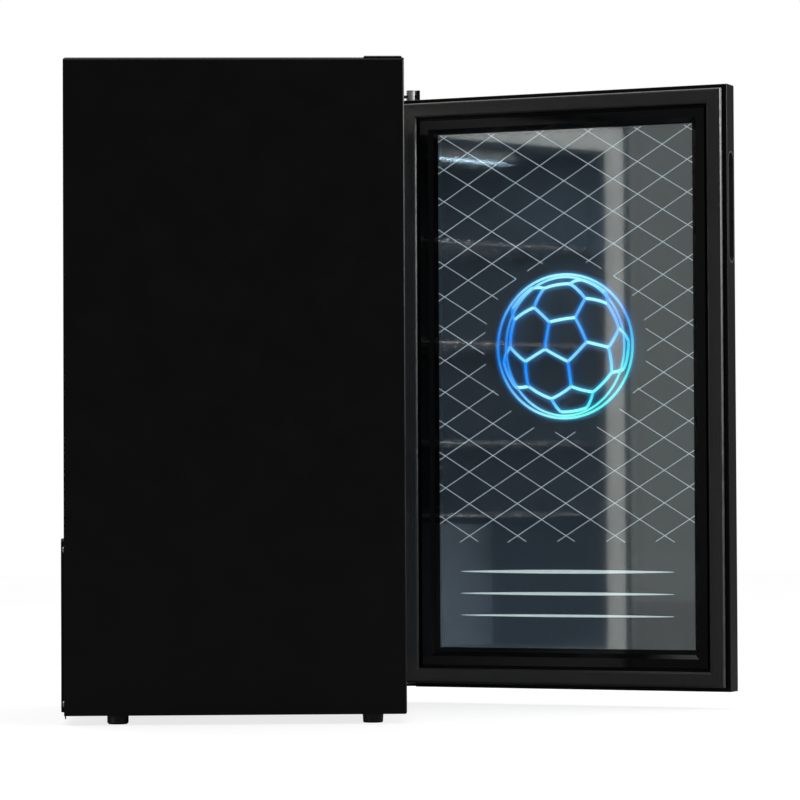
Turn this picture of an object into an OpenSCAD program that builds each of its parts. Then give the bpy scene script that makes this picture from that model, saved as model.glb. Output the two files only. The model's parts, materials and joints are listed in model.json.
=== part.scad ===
// Under-counter drinks cooler: an insulated steel cabinet with a lit interior and wire shelves,
// and a glazed door with an edge-lit panel, held open on two hinge pins.
// Millimetres. +Z up, the door's side faces -Y when it is shut, +X is the hinge side.
// The origin is on the floor, under the middle of the cabinet.

/* [Cabinet] */
// Width across the side panels
cab_w = 475; // [440:1:520]
// Depth of the cabinet without the door
cab_d = 430; // [410:1:480]
// Height of the cabinet without its feet
cab_h = 828; // [800:1:860]
// Height of the feet
foot_h = 12; // [10:1:20]
// Thickness of the insulated walls
wall_t = 50; // [46:1:54]

/* [Door] */
// Angle at which the door stands open
door_open = 64.5; // [0:0.5:100]
// Thickness of the door without its gasket
door_t = 34; // [34:1:40]
// Gap between the cabinet and the shut door, filled by the gasket
door_gap = 9.7; // [9:0.1:11]
// Height of the door's lower edge above the floor
door_z0 = 23; // [22:1:28]
// Distance from the cabinet's top down to the door's top
door_drop = 5; // [4:1:8]
// Width of the border around the clear glass
glass_border = 49; // [47:1:53]

/* [Shelves] */
// Height of the lowest shelf above the floor, just over the compressor step
shelf_z0 = 258; // [256:1:262]
// Distance from the lowest shelf to the next
low_pitch = 103; // [96:1:106]
// Distance between the upper shelves
shelf_pitch = 142.5; // [130:0.5:144]
// Diameter of the shelf frame rod
rod_d = 5; // [4:0.5:6]
// Diameter of the shelf wires
wire_d = 3; // [2.5:0.5:3.5]
// Number of wires across a shelf
wire_count = 17; // [11:2:21]

/* [Compressor bay] */
// Depth of the bay, from the back
bay_d = 150; // [145:1:155]
// Height of the bay's ceiling above the floor
bay_z1 = 216; // [212:1:218]
// Radius of the compressor shell
comp_r = 57; // [54:1:58]

/* [Controls] */
// Angle of the thermostat knob's mark
knob_turn = 0; // [0:5:270]

/* [Hidden] */
$fn = 48;

eps = 0.01;
skin_t = 0.8;                           // steel sheet
liner_t = 1.5;                          // vacuum-formed liner
cab_z1 = foot_h + cab_h;                // top of the cabinet
half_w = cab_w / 2;
half_d = cab_d / 2;
front_y = -half_d;                      // plane of the cabinet's front
in_half_w = half_w - wall_t;            // inside of the liner
in_z0 = foot_h + wall_t;
in_z1 = cab_z1 - wall_t;
in_rear_y = half_d - wall_t;
bay_y0 = half_d - bay_d;                // front of the compressor bay
bay_wall = 28;                          // insulation around the bay
step_y = bay_y0 - bay_wall;             // front of the step in the liner
step_z = bay_z1 + bay_wall;             // top of the step in the liner
flange_t = 2;                           // the front flange's thickness
return_w = 13;                          // the wrap's edge, rolled in across the front
base_t = 1.5;
base_z1 = foot_h + base_t;
wrap_front = front_y + flange_t;        // the wrap's front edge, behind the flange

door_z1 = cab_z1 - door_drop;
door_h = door_z1 - door_z0;
door_zc = (door_z0 + door_z1) / 2;
door_in_y = front_y - door_gap;         // the door's inner face, shut
door_out_y = door_in_y - door_t;        // the door's outer face, shut
pin_inset = 9;                          // the hinge axis, in from the door's edge
hinge_x = half_w - pin_inset;
hinge_y = door_in_y - door_t / 2;
pin_r = 4;
pin_gap = 0.05;                         // running clearance of a hinge pin in its bush
bush_r = 7;
bush_h = 22;

gasket_in = 5.5;                        // the gasket's outer edge, in from the door's edge
gasket_w = 21;
gasket_h = door_gap - 0.3;
frame_w = 46;                           // the door frame's bars, seen from the front
glass_seat = 34;                        // the inner pane's edge, in from the door's edge
pane_in_t = 3;
pane_in_v = -2;                         // the inner pane's inside face, from the door's inner face
panel_t = 5;
panel_v = -13;
pane_out_t = 4;
handle_z1 = door_z1 - 89;               // top of the finger recess
handle_h = 150;
handle_v = 5.2;                         // its insert, in from the door's inner face
handle_w = 23;

top_pin_z0 = door_z1 - bush_h + 1.5;    // the upper pin's lower end
collar_r = 6.8;                         // the upper pin's collar
collar_top = cab_z1 + 10;
plate_t = 3;
bracket_z = door_z0 + 0.3;              // the lower hinge bracket, in the door's bottom notch
notch_h = plate_t + 1.5;                // that notch
shelf_y0 = front_y + 22;                // front of a shelf
shelf_rear = in_rear_y - liner_t - 8;
shelf_half = in_half_w - 3;             // a shelf's half width
lamp_y = front_y + 95;
lamp_size = [150, 46, 14];
box_size = [112, 62, 34];               // the control box under the ceiling, at the back
box_y = in_rear_y - liner_t - 9 - box_size[1];
box_z = in_z1 - box_size[2];
knob_x = -22;
switch_x = 30;
pivot_r = 1.2;                          // the rocker's stub pivots
pivot_in = 2;                           // their axis, in from the control box's face
front_foot_y = front_y + 42;
foot_x = half_w - 32;
rear_foot_y = 149;
comp_y = half_d - 63;
comp_x = -60;
comp_z0 = foot_h + 16;                  // underside of the compressor shell
comp_z1 = comp_z0 + 142;                // and its top
bolt_dx = 76;                           // half the spacing of the compressor's bolts, along X
bolt_dy = 47;                           // and along Y
tray_x = 34;
tray_w = 90;

// ---------- general shapes ----------

// A rectangle with round corners, its lower left corner at the origin.
module round_rect(w, h, r) {
    translate([r, 0]) square([w - 2 * r, h]);
    translate([0, r]) square([w, h - 2 * r]);
    for (x = [r, w - r], y = [r, h - r]) translate([x, y]) circle(r);
}

// A plate across the front: w wide and h high, centred on x = 0, from z0 up, from y0 to y0 + t.
module front_plate(w, h, z0, y0, t, r) {
    translate([-w / 2, y0 + t, z0]) rotate([90, 0, 0]) linear_extrude(t) round_rect(w, h, r);
}

// One side of a ring: a profile whose first axis runs inward and whose second runs along +Y,
// swept over a length and mitred at 45 degrees at both ends.
module mitred_bar(len, u1, v0, v1) {
    intersection() {
        translate([0, 0, -len / 2]) linear_extrude(len) children();
        translate([0, v1, 0]) rotate([90, 0, 0]) linear_extrude(v1 - v0)
            polygon([[0, -len / 2], [u1, -len / 2 + u1], [u1, len / 2 - u1], [0, len / 2]]);
    }
}

// A mitred frame of outer size w by h, centred on x = 0 and z = zc, its profile's origin at y = y0.
module mitred_ring(w, h, zc, y0, u1, v0, v1) {
    translate([0, y0, zc]) for (k = [0 : 3])
        rotate([0, k * 90, 0]) translate([0, 0, -(k % 2 == 0 ? h : w) / 2]) rotate([0, -90, 0])
            mitred_bar(k % 2 == 0 ? w : h, u1, v0, v1) children();
}

// Turns what is built with the door shut to where the open door stands.
module on_door() {
    translate([hinge_x, hinge_y, 0]) rotate([0, 0, door_open]) translate([-hinge_x, -hinge_y, 0])
        children();
}

// A pan-head screw, its head on z = 0 and its shank going down.
module screw(head_r, head_h, shank_r, shank_l) {
    difference() {
        rotate_extrude() polygon([[0, 0], [head_r, 0], [head_r, head_h * 0.5],
            [head_r * 0.7, head_h], [0, head_h]]);
        for (a = [0, 90]) rotate([0, 0, a])
            translate([-head_r * 0.55, -0.5, head_h * 0.45]) cube([head_r * 1.1, 1, head_h]);
    }
    translate([0, 0, -shank_l]) cylinder(r = shank_r, h = shank_l);
}

// A bent round bar through points, given as straight runs with a ball at each bend.
module bent_tube(points, r) {
    for (i = [0 : len(points) - 2]) {
        a = points[i];
        d = points[i + 1] - a;
        l = norm(d);
        translate(a) rotate([0, acos(d[2] / l), atan2(d[1], d[0])]) cylinder(r = r, h = l, $fn = 24);
        if (i > 0) translate(a) sphere(r, $fn = 24);
    }
}

// ---------- cabinet ----------

// The outline of the cabinet from the front, shrunk by g, with round bends at the top.
module wrap_outline(g) {
    bend = 5;
    translate([g, -g]) square([cab_w - 2 * g, cab_h - bend + g]);
    translate([bend, 0]) square([cab_w - 2 * bend, cab_h - g]);
    for (x = [bend, cab_w - bend]) translate([x, cab_h - bend]) circle(bend - g);
}

// One sheet bent over both sides and the top, its front edges rolled inward.
module outer_wrap() {
    roll = 2.5;
    color("#141416") {
        intersection() {
            difference() {
                translate([-half_w, half_d, foot_h]) rotate([90, 0, 0])
                    linear_extrude(cab_d - roll) wrap_outline(0);
                translate([-half_w, half_d + 1, foot_h]) rotate([90, 0, 0])
                    linear_extrude(cab_d + 2) wrap_outline(skin_t);
            }
            // the rear top corner is round
            translate([-half_w - 1, 0, 0]) rotate([90, 0, 90]) linear_extrude(cab_w + 2) {
                translate([-half_d - 1, 0]) square([cab_d + 1, cab_z1 - 4]);
                translate([-half_d - 1, 0]) square([cab_d - 3, cab_z1]);
                translate([half_d - 4, cab_z1 - 4]) circle(4);
            }
        }
        intersection() {
            mitred_ring(cab_w, cab_h, foot_h + cab_h / 2, front_y, return_w, 0, roll + 0.2)
                difference() {
                    union() {
                        translate([roll, roll]) circle(roll);
                        translate([roll, 0]) square([return_w - roll, skin_t]);
                        translate([0, roll]) square([skin_t, 1]);
                    }
                    translate([roll, roll]) circle(roll - skin_t);
                    translate([skin_t, roll]) square([roll * 2, 2]);
                    translate([roll, skin_t]) square([roll * 2, 2]);
                }
            translate([-half_w, front_y + 10, foot_h]) rotate([90, 0, 0])
                linear_extrude(20) wrap_outline(0);
        }
    }
}

module back_panel() {
    color("#1b1b1d") difference() {
        front_plate(cab_w - 2 * skin_t - 0.4, cab_z1 - skin_t - 5 - bay_z1, bay_z1,
            half_d - 2, skin_t, 2);
        // stamped stiffening ribs
        for (x = [-120, 0, 120]) translate([x - 4, half_d - 1.5, bay_z1 + 60])
            cube([8, 2, 440]);
    }
}

module base_plate() {
    color("#4a4c4e") difference() {
        translate([-half_w + skin_t + 0.2, wrap_front + 1, foot_h])
            cube([cab_w - 2 * skin_t - 0.4, cab_d - flange_t - 2.2, base_t]);
        for (sx = [-1, 1], y = [front_foot_y, rear_foot_y])
            translate([sx * foot_x, y, foot_h - 1]) cylinder(r = 5.05, h = base_t + 2);
        for (sx = [-1, 1], sy = [-1, 1])
            translate([comp_x + sx * bolt_dx, comp_y + sy * bolt_dy, foot_h - 1])
                cylinder(r = 3.2, h = base_t + 2);
        for (i = [0 : 6]) translate([70 + i * 18, comp_y - 35, foot_h - 1])
            cube([6, 70, base_t + 2]);
    }
}

// The pale flange between the wrap's rolled edge and the opening, which the gasket closes on.
module front_flange() {
    u0 = return_w + 0.3;
    color("#d8d6cf")
        mitred_ring(cab_w, cab_h, foot_h + cab_h / 2, front_y, wall_t, 0, flange_t)
            polygon([[u0, 0.1], [wall_t - 2, 0.1], [wall_t, flange_t], [u0, flange_t]]);
}

// The moulded inner box, open at the front, with ledges for the shelves.
module liner() {
    ledge = 2.6;
    color("#e9ebec") {
        difference() {
            translate([-in_half_w - liner_t, 0, 0]) rotate([90, 0, 90])
                linear_extrude(2 * (in_half_w + liner_t)) polygon([
                    [wrap_front, in_z0 - liner_t], [step_y + eps, in_z0 - liner_t],
                    [step_y + eps, step_z - liner_t], [in_rear_y + liner_t, step_z - liner_t],
                    [in_rear_y + liner_t, in_z1 + liner_t], [wrap_front, in_z1 + liner_t]]);
            translate([-in_half_w, 0, 0]) rotate([90, 0, 90])
                linear_extrude(2 * in_half_w) polygon([
                    [wrap_front - 1, in_z0], [step_y - liner_t, in_z0],
                    [step_y - liner_t, step_z], [in_rear_y, step_z],
                    [in_rear_y, in_z1], [wrap_front - 1, in_z1]]);
        }
        for (k = [0 : 3], sx = [-1, 1])
            translate([sx > 0 ? in_half_w - 9 : -in_half_w - 0.5, front_y + 14,
                shelf_height(k) - rod_d / 2 - 0.3 - ledge])
                cube([9.5, in_rear_y - front_y - 14 + 0.5, ledge]);
    }
}

// Foam around the liner, as slabs a hair apart.
module insulation() {
    g = 0.3;
    xi = in_half_w + liner_t + g;
    xo = half_w - skin_t - g;
    y0 = wrap_front + g;
    y1 = half_d - 2 - g;
    z0 = base_z1 + g;
    z1 = cab_z1 - skin_t - g - 4.5;
    tube_r = 3;
    color("#e6d9a8") difference() {
        union() {
            for (s = [0, 1]) mirror([s, 0, 0]) {
                translate([xi, y0, z0]) cube([xo - xi, step_y - y0, z1 - z0]);
                translate([xi, step_y + g, step_z]) cube([xo - xi, y1 - step_y - g, z1 - step_z]);
                translate([xi, bay_y0 - bay_wall + g, z0])
                    cube([xo - xi, bay_wall - g, step_z - g - z0]);
                translate([xi, bay_y0 + g, bay_z1 + g])
                    cube([xo - xi, y1 - bay_y0 - g, bay_wall - 2 * g]);
            }
            // ceiling, floor, back, and the two walls of the step
            translate([-xi + g, y0, in_z1 + liner_t + g])
                cube([2 * (xi - g), y1 - y0, z1 - in_z1 - liner_t - g]);
            translate([-xi + g, y0, z0])
                cube([2 * (xi - g), step_y - y0, in_z0 - liner_t - g - z0]);
            translate([-xi + g, in_rear_y + liner_t + g, step_z])
                cube([2 * (xi - g), y1 - in_rear_y - liner_t - g, in_z1 + liner_t - step_z]);
            translate([-xi + g, step_y + g, z0])
                cube([2 * (xi - g), bay_wall - g, step_z - liner_t - g - z0]);
            translate([-xi + g, bay_y0 + g, bay_z1 + g])
                cube([2 * (xi - g), y1 - bay_y0 - g, bay_wall - liner_t - 2 * g]);
        }
        condenser_path(tube_r);
        for (sx = [-1, 1]) translate([sx * foot_x, front_foot_y, foot_h])
            cylinder(r = 8.3, h = 29);
    }
}

// The condenser loops, bonded inside each side panel.
module condenser_path(r) {
    z0 = step_z + 40;
    z1 = in_z1 - 30;
    pitch = 50;
    y0 = -150;
    for (s = [0, 1]) mirror([s, 0, 0]) translate([half_w - skin_t - 4, 0, 0]) {
        for (i = [0 : 5]) translate([0, y0 + i * pitch, z0]) cylinder(r = r, h = z1 - z0);
        for (i = [0 : 4]) translate([0, y0 + (i + 0.5) * pitch, i % 2 == 0 ? z1 : z0])
            rotate([i % 2 == 0 ? 0 : 180, 0, 0]) rotate([90, 0, 90])
                rotate_extrude(angle = 180) translate([pitch / 2, 0]) circle(r);
    }
}

module condenser_tubes() {
    color("#a8643c") condenser_path(2.4);
}

// The cold plate on the rear wall of the liner, with its refrigerant channels raised.
module evaporator_plate() {
    w = 290;
    z0 = step_z + 60;
    z1 = in_z1 - box_size[2] - 20;
    y = in_rear_y - 4;
    color("#b9bec2") {
        front_plate(w, z1 - z0, z0, y, 1.5, 10);
        for (i = [0 : 7]) translate([-w / 2 + 20, y - 1.2, z0 + 30 + i * (z1 - z0 - 60) / 7])
            rotate([0, 90, 0]) cylinder(r = 3, h = w - 40);
        for (x = [-110, 110], z = [z0 + 14, z1 - 14]) translate([x, y + 1, z])
            rotate([-90, 0, 0]) cylinder(r = 4, h = 2.9);
    }
}

// ---------- compressor bay ----------

module compressor() {
    tall = comp_z1 - comp_z0;
    bend = 14;
    color("#151517") translate([comp_x, comp_y, 0]) {
        translate([0, 0, comp_z0]) rotate_extrude() {
            square([comp_r - bend, tall]);
            translate([0, bend]) square([comp_r, tall - 2 * bend]);
            for (z = [bend, tall - bend]) translate([comp_r - bend, z]) circle(bend);
        }
        // welded rim and mounting plate
        translate([0, 0, foot_h + 84]) cylinder(r = comp_r + 3, h = 4);
        difference() {
            translate([-bolt_dx - 14, -bolt_dy - 12, foot_h + 13])
                cube([2 * bolt_dx + 28, 2 * bolt_dy + 24, 3]);
            for (sx = [-1, 1], sy = [-1, 1])
                translate([sx * bolt_dx, sy * bolt_dy, foot_h]) cylinder(r = 7, h = 20);
        }
        // process tube
        translate([-30, 0, comp_z1 - 8]) cylinder(r = 3, h = 22);
    }
}

module at_mounts() {
    for (sx = [-1, 1], sy = [-1, 1])
        translate([comp_x + sx * bolt_dx, comp_y + sy * bolt_dy, 0]) children();
}

// Rubber grommets between the base plate and the compressor's feet.
module compressor_mounts() {
    color("#232323") at_mounts() difference() {
        union() {
            translate([0, 0, base_z1]) cylinder(r = 11, h = foot_h + 13 - base_z1);
            translate([0, 0, foot_h + 12]) cylinder(r = 6.9, h = 5);
            translate([0, 0, foot_h + 16.05]) cylinder(r = 11, h = 4);
        }
        translate([0, 0, foot_h]) cylinder(r = 3.2, h = 30);
    }
}

// Bolts up through the base plate, their heads below it.
module compressor_bolts() {
    color("#b9bcc0") at_mounts() {
        translate([0, 0, foot_h - 4]) cylinder(r = 6, h = 4, $fn = 6);
        translate([0, 0, foot_h - 1]) cylinder(r = 3, h = 24);
        translate([0, 0, foot_h + 20.05]) cylinder(r = 5, h = 3.5, $fn = 6);
    }
}

module relay_cover() {
    color("#2c2c2e") translate([comp_x + comp_r + 4, comp_y - 24, foot_h + 40])
        difference() {
            cube([26, 48, 58]);
            translate([3, 3, -1]) cube([20, 42, 56]);
        }
}

module refrigerant_pipes() {
    y = comp_y + 34;
    z = foot_h + 120;
    start = comp_z1 + 0.02;
    color("#b06a3e") {
        bent_tube([[comp_x + 30, comp_y + 20, start], [comp_x + 30, comp_y + 20, 184],
            [comp_x + 110, comp_y + 20, 184], [comp_x + 110, comp_y + 20, z],
            [150, comp_y + 20, z]], 3);
        bent_tube([[comp_x + 10, comp_y - 30, start], [comp_x + 10, comp_y - 30, 196],
            [190, comp_y - 30, 196], [190, comp_y - 30, 100]], 3);
        bent_tube([[178.5, y, 60], [178.5, y, 34], [145, y, 34], [145, y, 90]], 1.5);
    }
}

module filter_drier() {
    color("#b8733f") translate([178.5, comp_y + 34, 60]) rotate_extrude()
        polygon([[0, 0], [3, 0], [4, 6], [9, 14], [9, 84], [4, 92], [3, 98], [0, 98]]);
}

// The evaporating tray beside the compressor, under the drain.
module drip_tray() {
    color("#3a3a3c") translate([tray_x, comp_y - 56, base_z1 + 0.2]) difference() {
        cube([tray_w, 104, 30]);
        translate([2, 2, 2]) cube([tray_w - 4, 100, 30]);
    }
}

module drain_tube() {
    color("#cfd2d4") translate([tray_x + tray_w / 2, comp_y, 0]) difference() {
        translate([0, 0, 40]) cylinder(r = 5, h = bay_z1 - 40);
        translate([0, 0, 39]) cylinder(r = 3.8, h = bay_z1);
    }
}

// A louvred pressing, standing proud of the back, that closes the compressor bay.
module rear_cover() {
    w = 424;
    z0 = foot_h + 3;
    h = 219;
    proud = 5;
    color("#18181a") difference() {
        union() {
            front_plate(w, h, z0, half_d, proud, 6);
            front_plate(w + 30, h + 2, z0 - 1, half_d - 0.9, 0.9, 2);
            // hooks that hang under the base
            for (x = [-w / 2 - 6, w / 2 - 6]) translate([x, half_d - 0.9, foot_h - 5])
                cube([12, 0.9, 8]);
        }
        front_plate(w - 2.4, h - 2.4, z0 + 1.2, half_d - 1, proud - 0.2, 5);
        for (x = [-165 : 30 : 15], k = [0 : 9])
            translate([x, half_d - 2, z0 + 28 + k * 17]) cube([22, 10, 4]);
        for (x = [75 : 30 : 165], k = [4 : 9])
            translate([x, half_d - 2, z0 + 28 + k * 17]) cube([22, 10, 4]);
        translate([130, half_d - 2, z0 + 40]) rotate([-90, 0, 0]) cylinder(r = 10, h = 10);
        at_cover_screws() translate([0, 0, -10]) cylinder(r = 1.55, h = 20);
    }
}

// Places for the cover's screws: four on its flange and two on the raised part.
module at_cover_screws() {
    for (x = [-219, 219], z = [foot_h + 14, foot_h + 208])
        translate([x, half_d + 0.05, z]) rotate([-90, 0, 0]) children();
    for (z = [foot_h + 10, foot_h + 216])
        translate([0, half_d + 5.05, z]) rotate([-90, 0, 0]) children();
}

module cover_screws() {
    color("#c3c6c9") at_cover_screws() screw(4, 2.4, 1.5, 1.1);
}

// The bush where the supply leaves the back.
module cord_gland() {
    color("#0f0f10") translate([130, half_d, foot_h + 43]) rotate([-90, 0, 0]) difference() {
        union() {
            translate([0, 0, 5.05]) cylinder(r = 13, h = 4);
            translate([0, 0, -4]) cylinder(r = 9.9, h = 10);
        }
        translate([0, 0, -5]) cylinder(r = 4.2, h = 20);
    }
}

module rear_feet() {
    color("#1c1c1e") for (sx = [-1, 1]) translate([sx * foot_x, rear_foot_y, 0]) {
        rotate_extrude() polygon([[0, 0], [11.5, 0], [13.5, 2], [13.5, foot_h], [0, foot_h]]);
        translate([0, 0, foot_h - 1]) cylinder(r = 5, h = base_t + 5);
    }
}

// A levelling foot: a fluted pad on a stud.
module levelling_foot(sx) {
    flutes = 20;
    color("#202022") translate([sx * foot_x, front_foot_y, 0]) difference() {
        union() {
            rotate_extrude() polygon([[0, 0], [12, 0], [12.6, 1.5], [13.2, foot_h - 1.5],
                [12.4, foot_h - 0.4], [0, foot_h - 0.4]]);
            translate([0, 0, foot_h - 1]) cylinder(r = 3.9, h = 22);
        }
        for (i = [0 : flutes - 1]) rotate([0, 0, i * 360 / flutes])
            translate([13.8, 0, -1]) cylinder(r = 1.3, h = foot_h + 1);
    }
}

module front_foot_left() { levelling_foot(-1); }
module front_foot_right() { levelling_foot(1); }

// Threaded inserts in the base for the levelling feet.
module foot_inserts() {
    color("#9a9da0") for (sx = [-1, 1]) translate([sx * foot_x, front_foot_y, 0]) difference() {
        union() {
            translate([0, 0, foot_h]) cylinder(r = 5, h = 28);
            translate([0, 0, base_z1 + 0.05]) cylinder(r = 8, h = 1.5);
        }
        translate([0, 0, foot_h - 1]) cylinder(r = 4, h = 40);
    }
}

// ---------- lighting and controls ----------

module lamp_housing() {
    s = lamp_size;
    color("#eceeef") translate([-s[0] / 2, lamp_y - s[1] / 2, in_z1 - s[2]]) difference() {
        cube(s);
        translate([3, 3, -1]) cube([s[0] - 6, s[1] - 6, s[2] - 1]);
    }
}

module lamp_board() {
    s = lamp_size;
    color("#f4f4f0") {
        translate([-s[0] / 2 + 6, lamp_y - 12, in_z1 - 3.6]) cube([s[0] - 12, 24, 1.5]);
        for (i = [-3 : 3]) translate([i * 18 - 2.5, lamp_y - 2.5, in_z1 - 4.8])
            cube([5, 5, 1.25]);
    }
}

// The ribbed lens that closes the lamp from below.
module lamp_lens() {
    s = lamp_size;
    color("#dfeaf2", 0.6) translate([-s[0] / 2 + 3.2, lamp_y - s[1] / 2 + 3.2, in_z1 - s[2]]) {
        cube([s[0] - 6.4, s[1] - 6.4, 1.6]);
        for (i = [0 : 17]) translate([3 + i * 7.9, 1, -1.1]) cube([4, s[1] - 8.4, 1.15]);
    }
}

module control_box() {
    s = box_size;
    color("#e4e6e7") translate([-s[0] / 2, box_y, box_z]) difference() {
        cube(s);
        translate([2, 2, 2]) cube([s[0] - 4, s[1] - 4, s[2] - 2]);
        translate([s[0] / 2 + knob_x, 3, s[2] / 2]) rotate([90, 0, 0]) cylinder(r = 3.05, h = 5);
        translate([s[0] / 2 + switch_x - 7, -1, s[2] / 2 - 10.5]) cube([14, 4, 21]);
        translate([s[0] / 2 + switch_x, pivot_in, s[2] / 2]) rotate([0, 90, 0])
            cylinder(r = pivot_r + pin_gap, h = 16.6, center = true);
    }
}

// The thermostat's capsule behind the control box's face.
module thermostat() {
    color("#8f9498") translate([knob_x, box_y + 2.05, box_z + box_size[2] / 2]) {
        translate([-13, 0, -13]) cube([26, 24, 26]);
        translate([0, 30, 0]) rotate([90, 0, 0]) cylinder(r = 8, h = 7);
    }
}

module thermostat_knob() {
    r = 13;
    color("#d6d8da") translate([knob_x, box_y, box_z + box_size[2] / 2]) rotate([90, 0, 0])
        rotate([0, 0, -knob_turn]) difference() {
            union() {
                translate([0, 0, 0.5]) cylinder(r = r, h = 9);
                translate([0, 0, 9.4]) cylinder(r1 = r, r2 = r - 1.5, h = 1.5);
                translate([0, 0, -2]) cylinder(r = 3, h = 3);
            }
            for (i = [0 : 17]) rotate([0, 0, i * 20]) translate([r + 0.6, 0, -1])
                cylinder(r = 1.2, h = 20);
            translate([-0.9, 3, 10.2]) cube([1.8, r, 2]);
        }
}

// A rocker in the control box's face, tipping on two stub pivots.
module light_switch() {
    color("#2a2c2e") translate([switch_x, box_y + pivot_in, box_z + box_size[2] / 2]) {
        rotate([90, 0, 90]) translate([0, 0, -6.6]) linear_extrude(13.2)
            polygon([[0.3, -9.2], [0.3, 9.2], [-3.8, 9.2], [-2.8, 0], [-5.2, -9.2]]);
        rotate([0, 90, 0]) cylinder(r = pivot_r, h = 16, center = true);
    }
}

// ---------- shelves ----------

function shelf_height(k) = shelf_z0 + (k > 0 ? low_pitch + (k - 1) * shelf_pitch : 0);

// A welded shelf: a rod frame with round corners, two cross rods, and wires from front to back.
module wire_shelf(z) {
    r = rod_d / 2;
    corner = 14;
    w = shelf_half - r;
    d = shelf_rear - shelf_y0 - rod_d;
    yc = (shelf_y0 + shelf_rear) / 2;
    lay = 0.35;                         // how far the wires sink into the rods
    wire_z = r + wire_d / 2 - lay;
    span = 2 * (w - 16);
    color("#cfd4d8") translate([0, yc, z]) {
        for (s = [-1, 1]) {
            translate([-w + corner, s * d / 2, 0]) rotate([0, 90, 0])
                cylinder(r = r, h = 2 * (w - corner));
            translate([s * w, -d / 2 + corner, 0]) rotate([-90, 0, 0])
                cylinder(r = r, h = d - 2 * corner);
        }
        for (q = [0 : 3]) rotate([0, 0, q * 90])
            translate(q % 2 == 0 ? [w - corner, d / 2 - corner, 0]
                                 : [d / 2 - corner, w - corner, 0])
                rotate_extrude(angle = 90) translate([corner, 0]) circle(r);
        for (y = [-d / 5, d / 5]) translate([-w, y, 0]) rotate([0, 90, 0])
            cylinder(r = r * 0.9, h = 2 * w);
        for (i = [0 : wire_count - 1])
            translate([-span / 2 + i * span / (wire_count - 1), -d / 2 - r + 0.3, wire_z])
                rotate([-90, 0, 0]) cylinder(r = wire_d / 2, h = d + rod_d - 0.6);
    }
}

module shelf_1() { wire_shelf(shelf_height(0)); }
module shelf_2() { wire_shelf(shelf_height(1)); }
module shelf_3() { wire_shelf(shelf_height(2)); }
module shelf_4() { wire_shelf(shelf_height(3)); }

// ---------- hinges ----------

// A steel leaf on the cabinet's top, with an arm that reaches the pin and wraps its front.
module top_hinge_plate() {
    leaf_w = 34;
    leaf_y0 = front_y + 3;
    front_t = 5;
    color("#19191b") difference() {
        union() {
            translate([hinge_x + pin_inset - 1 - leaf_w, leaf_y0, cab_z1])
                cube([leaf_w, 62, plate_t]);
            translate([hinge_x - 5, hinge_y - collar_r - front_t, cab_z1])
                cube([13, leaf_y0 - hinge_y + collar_r + front_t + 1, plate_t]);
            translate([hinge_x - 5, hinge_y - collar_r - front_t - 0.3, door_z1 + 1])
                cube([13, front_t, collar_top - door_z1 - 1]);
        }
        translate([hinge_x, hinge_y, cab_z1 - 1]) cylinder(r = collar_r + 0.02, h = 8);
        for (i = [0 : 1]) translate([hinge_x - 8, front_y + 20 + i * 30, cab_z1 - 1])
            cylinder(r = 2.6, h = 8);
    }
}

// A pin with a bright collar between the leaf and the door.
module top_hinge_pin() {
    color("#c9ccd0") translate([hinge_x, hinge_y, 0]) {
        translate([0, 0, top_pin_z0]) cylinder(r = pin_r, h = cab_z1 - top_pin_z0);
        translate([0, 0, door_z1 + 0.9]) cylinder(r = collar_r, h = collar_top - door_z1 - 0.9);
    }
}

module top_hinge_screws() {
    color("#c3c6c9") for (i = [0 : 1])
        translate([hinge_x - 8, front_y + 20 + i * 30, cab_z1 + plate_t])
            screw(5, 3, 2.5, 2.9);
}

// A bracket on the cabinet's front, whose arm reaches into the door's bottom notch.
module bottom_hinge_bracket() {
    arm_r = 8;
    foot_x0 = hinge_x - 46;
    color("#19191b") difference() {
        union() {
            translate([hinge_x - arm_r, hinge_y, bracket_z])
                cube([2 * arm_r, front_y - 0.2 - hinge_y, plate_t]);
            translate([hinge_x, hinge_y, bracket_z]) cylinder(r = arm_r, h = plate_t);
            translate([foot_x0, front_y - plate_t, foot_h + 1])
                cube([54, plate_t, bracket_z + plate_t - foot_h - 1]);
        }
        translate([hinge_x, hinge_y, bracket_z - 1]) cylinder(r = pin_r + 0.02, h = 8);
        for (i = [0 : 1]) translate([foot_x0 + 8 + i * 18, front_y - plate_t - 1, foot_h + 6])
            rotate([-90, 0, 0]) cylinder(r = 2, h = 8);
    }
}

module bottom_hinge_pin() {
    color("#c9ccd0") translate([hinge_x, hinge_y, bracket_z])
        cylinder(r = pin_r, h = door_z0 + 26 - bracket_z);
}

module bottom_hinge_screws() {
    color("#c3c6c9") for (i = [0 : 1])
        translate([hinge_x - 38 + i * 18, front_y - plate_t, foot_h + 6])
            rotate([90, 0, 0]) screw(4, 2.2, 1.9, 2.9);
}

// The plug over the spare hinge holes, for a door hung on the other side.
module hinge_hole_cap() {
    l = 48;
    w = 30;
    h = 1.8;
    color("#17171a") translate([-hinge_x - 8, front_y + 3, cab_z1]) difference() {
        cube([w, l, h]);
        for (y = [0, l]) translate([-1, y, h]) rotate([0, 90, 0]) rotate([0, 0, 45])
            translate([-0.8, -0.8, 0]) cube([1.6, 1.6, w + 2]);
        for (x = [0, w]) translate([x, -1, h]) rotate([-90, 0, 0]) rotate([0, 0, 45])
            translate([-0.8, -0.8, 0]) cube([1.6, 1.6, l + 2]);
    }
}

// ---------- door ----------

// The space that the handle insert fills in the door's free edge, grown by g.
module handle_space(g) {
    translate([-half_w - 1, door_in_y - handle_v + g, handle_z1 - handle_h - g])
        rotate([90, 0, 90]) translate([-handle_w - 2 * g, 0]) linear_extrude(17 + g + 1)
            round_rect(handle_w + 2 * g, handle_h + 2 * g, 11 + g);
}

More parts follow.
